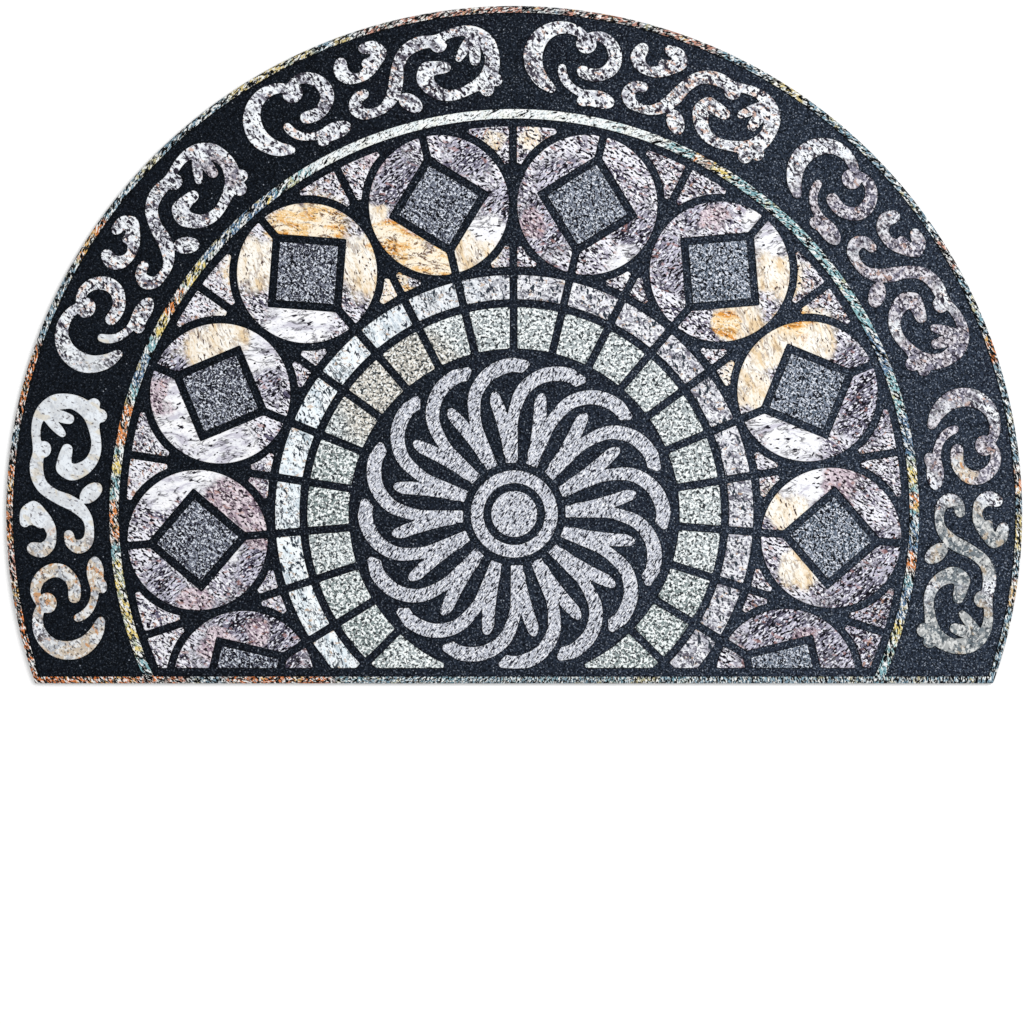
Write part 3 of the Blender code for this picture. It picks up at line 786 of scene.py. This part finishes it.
def on_rim_mask(tree, position, inner, straight):
    """Where a point lies on the rim, outside a radius or below a line along the straight edge."""
    radius = round_the_mat(tree, position)[1]
    y = axis(tree, position, "Y")
    return sums(tree, "MAXIMUM", ramp(tree, radius, inner - MM / 2, inner, shape="LINEAR"),
                ramp(tree, y, straight + MM / 2, straight, shape="LINEAR"))


# Where the rim begins, and its outer side: a radius round the rosette, and the y of a line along
# the straight edge
RIM_FROM = (400 * MM, -297.8 * MM)
RIM_SIDE_FROM = (453.5 * MM, -301 * MM)


def rim_side(tree, position):
    """The rim's outer side, which the print covers down to a ragged line above the floor."""
    outside = on_rim_mask(tree, position, *RIM_SIDE_FROM)
    height = axis(tree, position, "Z")
    rag = noise(tree, position, 500, 3, 0.6)
    level = sums(tree, "MULTIPLY_ADD", rag, -1.2 * MM, height)
    return sums(tree, "MULTIPLY", outside, ramp(tree, level, 4.0 * MM, 4.3 * MM))


# Metres of streaks for each radian round the mat
STREAK_RADIUS = 0.38
# Runs of hue along the border ring and the rim: a colour, then its spots on a circle of that radius,
# as above. The ring has a white run too, and the straight edge its own spots.
RING_RADIUS, RIM_RADIUS = 359, 450
WHITE_RUN = ((118, 30), (108, 60), (92, 70), (78, 50))
STRAIGHT_SPOTS = ((-380, -150, 90), (-210, -150, 50))
RING_HUES = (
    ("#6f8aa6", ((159, 16), (137, 26), (130, 24), (24, 22), (11, 22), (-3, 20), (-13, 18))),
    ("#eef4f5", ((117, 26), (109, 36), (99, 40), (89, 36), (80, 34), (71, 26))),
    ("#e8d488", ((196, 30), (189, 18), (173, 10), (151, 18), (143, 14), (128, 5), (59, 12), (6, 12),
                 (-17, 12))),
    ("#e6985a", ((181, 20), (167, 22), (148, 16), (62, 10), (2, 8), (-7, 12))))
RIM_HUES = (
    ("#d8c893", ((119, 46), (110, 10), (57, 20), (-2, 18))),
    ("#cc9c8c", ((103, 44), (92, 50), (80, 40), (70, 30), (31, 18), (-9, 14), (186, 50))),
    ("#de9058", ((196, 70), (178, 44), (165, 40), (147, 24), (19, 14), (4, 14))))


def hued(tree, position, radius, tint, hues):
    """Lays runs of hue over a tint, from (colour, arcs on that radius in millimetres)."""
    for code, places in hues:
        there = patches(tree, position, arcs(radius, places), 15 * MM)
        tint = blend(tree, there, tint, rgb(code))
    return tint


def paint_frame(tree, position):
    """The border ring and the rim: slanting streaks that change hue on their way round."""
    angle, radius = round_the_mat(tree, position)
    turn = sums(tree, "MULTIPLY", angle, STREAK_RADIUS)
    along = put(tree, "CombineXYZ", {"X": turn, "Y": radius}).outputs[0]
    rim = on_rim_mask(tree, position, *RIM_FROM)
    white = patches(tree, position, arcs(RING_RADIUS, WHITE_RUN))
    ring_tint = hued(tree, position, RING_RADIUS, rgb("#98c0c6"), RING_HUES)
    rim_tint = hued(tree, position, RIM_RADIUS, rgb("#8fa9b8"), RIM_HUES)
    rim_tint = blend(tree, patches(tree, position, STRAIGHT_SPOTS), rim_tint, rgb("#da8750"))
    tint = blend(tree, rim, ring_tint, rim_tint)
    hue = noise(tree, position, 60, 3, 0.6, kind="Color")
    shift = put(tree, "SeparateColor", {"Color": hue}).outputs
    calm = between(tree, sums(tree, "SUBTRACT", white, rim), 0.6, 0.15)
    for channel, code in (("Red", "#e3cf8c"), ("Green", "#7fa9b4")):
        there = sums(tree, "MULTIPLY", ramp(tree, shift[channel], 0.56, 0.62), calm)
        tint = blend(tree, there, tint, rgb(code))
    long = between(tree, rim, 3.2, 1.8)
    size = between(tree, rim, 95.0, 190.0)
    dark = sums(tree, "MULTIPLY_ADD", white, -0.16, between(tree, rim, 0.31, 0.38))
    return flecked(tree, along, tint, (
        (0.45, long, size, 0.33, 0.9, "#fafcfb"), (0.4, long, size, dark, 1.0, "#05080b"),
        (0.6, 2.6, 280.0, 0.26, 0.8, "#fdfdfa"), (0.3, 2.6, 280.0, dark, 0.95, "#05080b"),
        (1.2, 1.4, 420.0, 0.2, 0.5, "#40494f")))


WAFFLE_PITCH = 4 * MM


def back_material():
    """The bare rubber back, with a fine waffle that grips the floor."""
    made, tree, shader, position = new_material("rubber_back")
    waves = [sums(tree, "SINE", sums(tree, "MULTIPLY", axis(tree, position, name),
                                     2 * math.pi / WAFFLE_PITCH)) for name in ("X", "Y")]
    waffle = sums(tree, "MAXIMUM", waves[0], waves[1])
    grain = noise(tree, position, 260, 4, 0.6)
    colour = graded(tree, grain, 0.3, 0.7, "#16171a", "#24262a")
    worn = noise(tree, position, 9, 3, 0.6)
    colour = blend(tree, ramp(tree, worn, 0.5, 0.75, 0.0, 0.35), colour, rgb("#3a3b3e"))
    height = sums(tree, "MULTIPLY_ADD", grain, 0.3, waffle)
    finish_surface(tree, shader, colour, ramp(tree, grain, 0.3, 0.7, 0.6, 0.8), height, 0.5,
                   0.4 * MM)
    return made


# Operators and properties


class DoormatSizes(bpy.types.PropertyGroup):
    """How the islands' outlines are eased"""

    step: bpy.props.FloatProperty(
        name="Outline step", description="Distance between the points of an island's outline",
        default=0.9 * MM, min=0.3 * MM, unit="LENGTH", precision=5)
    stand_off: bpy.props.FloatProperty(
        name="Stand-off", description="How far a curve may stand off a side of the CAD outline",
        default=0.55 * MM, min=0.0, unit="LENGTH", precision=5)
    corner: bpy.props.FloatProperty(
        name="Corner rounding", description="Reach of the mean that rounds an island's corners",
        default=0.95 * MM, min=0.3 * MM, unit="LENGTH", precision=5)


class DoormatStage(bpy.types.PropertyGroup):
    """The floor and the light"""

    floor_colour: bpy.props.FloatVectorProperty(
        name="Floor", description="Colour of the floor", subtype="COLOR", size=4,
        default=(0.96, 0.96, 0.96, 1.0))
    key_power: bpy.props.FloatProperty(
        name="Key light", description="Power of the large light at the upper right",
        default=30.0, min=0.0, unit="POWER")
    sky: bpy.props.FloatProperty(
        name="Sky", description="Strength of the even light from all round", default=0.7,
        min=0.0)


class DOORMAT_OT_slab(bpy.types.Operator):
    """Builds the flat slab that carries the islands"""

    bl_idname = "doormat.slab"
    bl_label = "Slab"

    def execute(self, context):
        """Rows of points shrink from the mat's outline to its middle, under and over the edge."""
        outline = cad_outlines(LOWEST - MM, LOWEST + MM)
        if areas(outline)[0] < 0:
            outline = outline[0][::-1], outline[1]
        xy, counts = eased(outline, SLAB_STEP, SLAB_STAND_OFF, SLAB_ROUNDING)
        out = outward((xy, counts))
        middle = (xy.min(0) + xy.max(0)) / 2
        shares = np.linspace(0, 1, SLAB_ROWS, endpoint=False)[1:, None, None]
        first, last = (xy - out * SLAB_EDGE[k][0] * MM for k in (0, -1))
        under = middle + (first - middle) * shares
        over = middle + (last - middle) * shares[::-1]
        edge = np.array([np.column_stack([xy - out * d * MM, np.full(len(xy), z * MM)])
                         for d, z in SLAB_EDGE])
        under = np.concatenate([under, np.full_like(under[:, :, :1], edge[0, 0, 2])], 2)
        over = np.concatenate([over, np.full_like(over[:, :, :1], edge[-1, 0, 2])], 2)
        rings = np.concatenate([under, edge, over])
        points = np.concatenate([rings.reshape(-1, 3), [(*middle, LOWEST), (*middle, GROUND)]])
        quads = walls(len(rings), counts)
        here, ahead = np.arange(len(xy)), neighbour(counts, 1)
        bottom, top = np.full(len(xy), len(points) - 2), np.full(len(xy), len(points) - 1)
        last_row = len(points) - 2 - len(xy)
        triangles = np.concatenate([np.stack([ahead, here, bottom], 1),
                                    np.stack([here + last_row, ahead + last_row, top], 1)])
        rows = np.repeat(np.arange(len(rings) - 1), len(xy))
        back = np.concatenate([rows < SLAB_ROWS, np.arange(len(triangles)) < len(xy)])
        made = new_object("slab", points, quads, triangles,
                          [flock_material("flock_ground", None), back_material()],
                          back.astype(int))
        belongs(made)
        return {"FINISHED"}


class DOORMAT_OT_rosette(bpy.types.Operator):
    """Builds the leaves of the rosette and its hub"""

    bl_idname = "doormat.rosette"
    bl_label = "Rosette"

    def execute(self, context):
        silver = flock_material("flock_silver", paint_leaves)
        islands("rosette_leaves", "leaves", silver)
        islands("rosette_hub", "hub", silver)
        return {"FINISHED"}


class DOORMAT_OT_tiles(bpy.types.Operator):
    """Builds the two rings of tiles"""

    bl_idname = "doormat.tiles"
    bl_label = "Tiles"

    def execute(self, context):
        islands("inner_tiles", "inner_tiles", flock_material("flock_granite", paint_inner_tiles))
        islands("outer_tiles", "outer_tiles",
                flock_material("flock_white_stone", paint_outer_tiles))
        return {"FINISHED"}


class DOORMAT_OT_roundels(bpy.types.Operator):
    """Builds the roundels' petals and squares, and the spandrels between them"""

    bl_idname = "doormat.roundels"
    bl_label = "Roundels"

    def execute(self, context):
        islands("roundel_squares", "squares", flock_material("flock_dark_granite", paint_squares))
        islands("roundel_petals", "petals", flock_material("flock_veined_stone", paint_petals))
        islands("spandrels", "spandrels", flock_material("flock_mixed_stone", paint_spandrels))
        return {"FINISHED"}


class DOORMAT_OT_scrolls(bpy.types.Operator):
    """Builds the scrolls of the outer band"""

    bl_idname = "doormat.scrolls"
    bl_label = "Scrolls"

    def execute(self, context):
        islands("band_scrolls", "scrolls", flock_material("flock_mottled_stone", paint_scrolls))
        return {"FINISHED"}


class DOORMAT_OT_frame(bpy.types.Operator):
    """Builds the rim and the border ring, which are one island"""

    bl_idname = "doormat.frame"
    bl_label = "Rim and border ring"

    def execute(self, context):
        """The slope belongs to the outer line, the only one whose area isn't a hole's."""
        lines = families()["frame"]
        outer = np.repeat(areas(lines) > 0, lines[1])
        islands("rim_and_border_ring", "frame",
                flock_material("flock_streaked", paint_frame, rim_side), outer)
        return {"FINISHED"}


# The lights, half the floor's width, and the camera: the spot on the mat that it looks down at, its
# lens and sensor in millimetres, and the width that it sees there
KEY_PLACE, KEY_WIDTH = (1.0, 0.55, 1.9), 1.0
FILL_PLACE, FILL_WIDTH, FILL_SHARE = (-1.4, -0.6, 2.2), 1.8, 0.35
HALF_FLOOR = 4.0
VIEW_CENTRE = (-0.002, -0.1506)
LENS, SENSOR, VIEW_WIDTH = 85.0, 36.0, 0.9207


class DOORMAT_OT_stage(bpy.types.Operator):
    """Sets the floor, the lights and the camera"""

    bl_idname = "doormat.stage"
    bl_label = "Stage"

    def execute(self, context):
        scene = context.scene
        props = scene.doormat_stage
        square = HALF_FLOOR * np.array([(-1, -1, 0), (1, -1, 0), (1, 1, 0), (-1, 1, 0)])
        floor = new_object("floor", square, np.array([(0, 1, 2, 3)]), np.zeros((0, 3), int),
                           [self.floor_material(props)])
        self.light("key", KEY_PLACE, KEY_WIDTH, props.key_power)
        self.light("fill", FILL_PLACE, FILL_WIDTH, props.key_power * FILL_SHARE)
        world = bpy.data.worlds.new("studio")
        world.use_nodes = True
        sky = world.node_tree.nodes["Background"].inputs
        sky["Color"].default_value = (1.0, 1.0, 1.0, 1.0)
        sky["Strength"].default_value = props.sky
        scene.world = world
        scene.view_settings.view_transform = "Standard"
        data = bpy.data.cameras.new("camera")
        data.lens, data.sensor_width = LENS, SENSOR
        camera = bpy.data.objects.new("camera", data)
        camera.location = (*VIEW_CENTRE, TOP + VIEW_WIDTH * LENS / SENSOR)
        scene.collection.objects.link(camera)
        scene.camera = camera
        return {"FINISHED"}

    def floor_material(self, props):
        """A plain pale floor with a barely visible unevenness."""
        made, tree, shader, position = new_material("pale_floor")
        soft = noise(tree, position, 3.0, 2)
        colour = blend(tree, ramp(tree, soft, 0.3, 0.7, 0.0, 0.02), props.floor_colour[:],
                       (1.0, 1.0, 1.0, 1.0))
        tree.links.new(colour, shader.inputs["Base Color"])
        shader.inputs["Roughness"].default_value = 0.9
        shader.inputs["Specular IOR Level"].default_value = 0.1
        return made

    def light(self, name, place, width, power):
        """A square soft light that looks at the middle of the mat."""
        data = bpy.data.lights.new(name, "AREA")
        data.shape, data.size, data.energy = "SQUARE", width, power
        made = bpy.data.objects.new(name, data)
        made.location = place
        made.rotation_euler = (-Vector(place)).to_track_quat("-Z", "Y").to_euler()
        bpy.context.scene.collection.objects.link(made)


class DOORMAT_PT_panel(bpy.types.Panel):
    """Lists the doormat's settings and the steps that build it"""

    bl_idname = "DOORMAT_PT_panel"
    bl_label = "Half-round doormat"
    bl_space_type = "VIEW_3D"
    bl_region_type = "UI"
    bl_category = "Doormat"

    def draw(self, context):
        for props in (context.scene.doormat_sizes, context.scene.doormat_stage):
            for name in props.__annotations__:
                self.layout.prop(props, name)
        for step in STEPS:
            self.layout.operator(step.bl_idname)


STEPS = (DOORMAT_OT_stage, DOORMAT_OT_slab, DOORMAT_OT_rosette, DOORMAT_OT_tiles,
         DOORMAT_OT_roundels, DOORMAT_OT_scrolls, DOORMAT_OT_frame)
CLASSES = (DoormatSizes, DoormatStage, *STEPS, DOORMAT_PT_panel)


def register():
    for each in CLASSES:
        bpy.utils.register_class(each)
    bpy.types.Scene.doormat_sizes = bpy.props.PointerProperty(type=DoormatSizes)
    bpy.types.Scene.doormat_stage = bpy.props.PointerProperty(type=DoormatStage)


def unregister():
    del bpy.types.Scene.doormat_stage
    del bpy.types.Scene.doormat_sizes
    for each in reversed(CLASSES):
        bpy.utils.unregister_class(each)


def main():
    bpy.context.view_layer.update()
    register()
    bpy.ops.doormat.stage()
    bpy.ops.doormat.slab()
    bpy.ops.doormat.rosette()
    bpy.ops.doormat.tiles()
    bpy.ops.doormat.roundels()
    bpy.ops.doormat.scrolls()
    bpy.ops.doormat.frame()


if __name__ == "__main__":
    main()
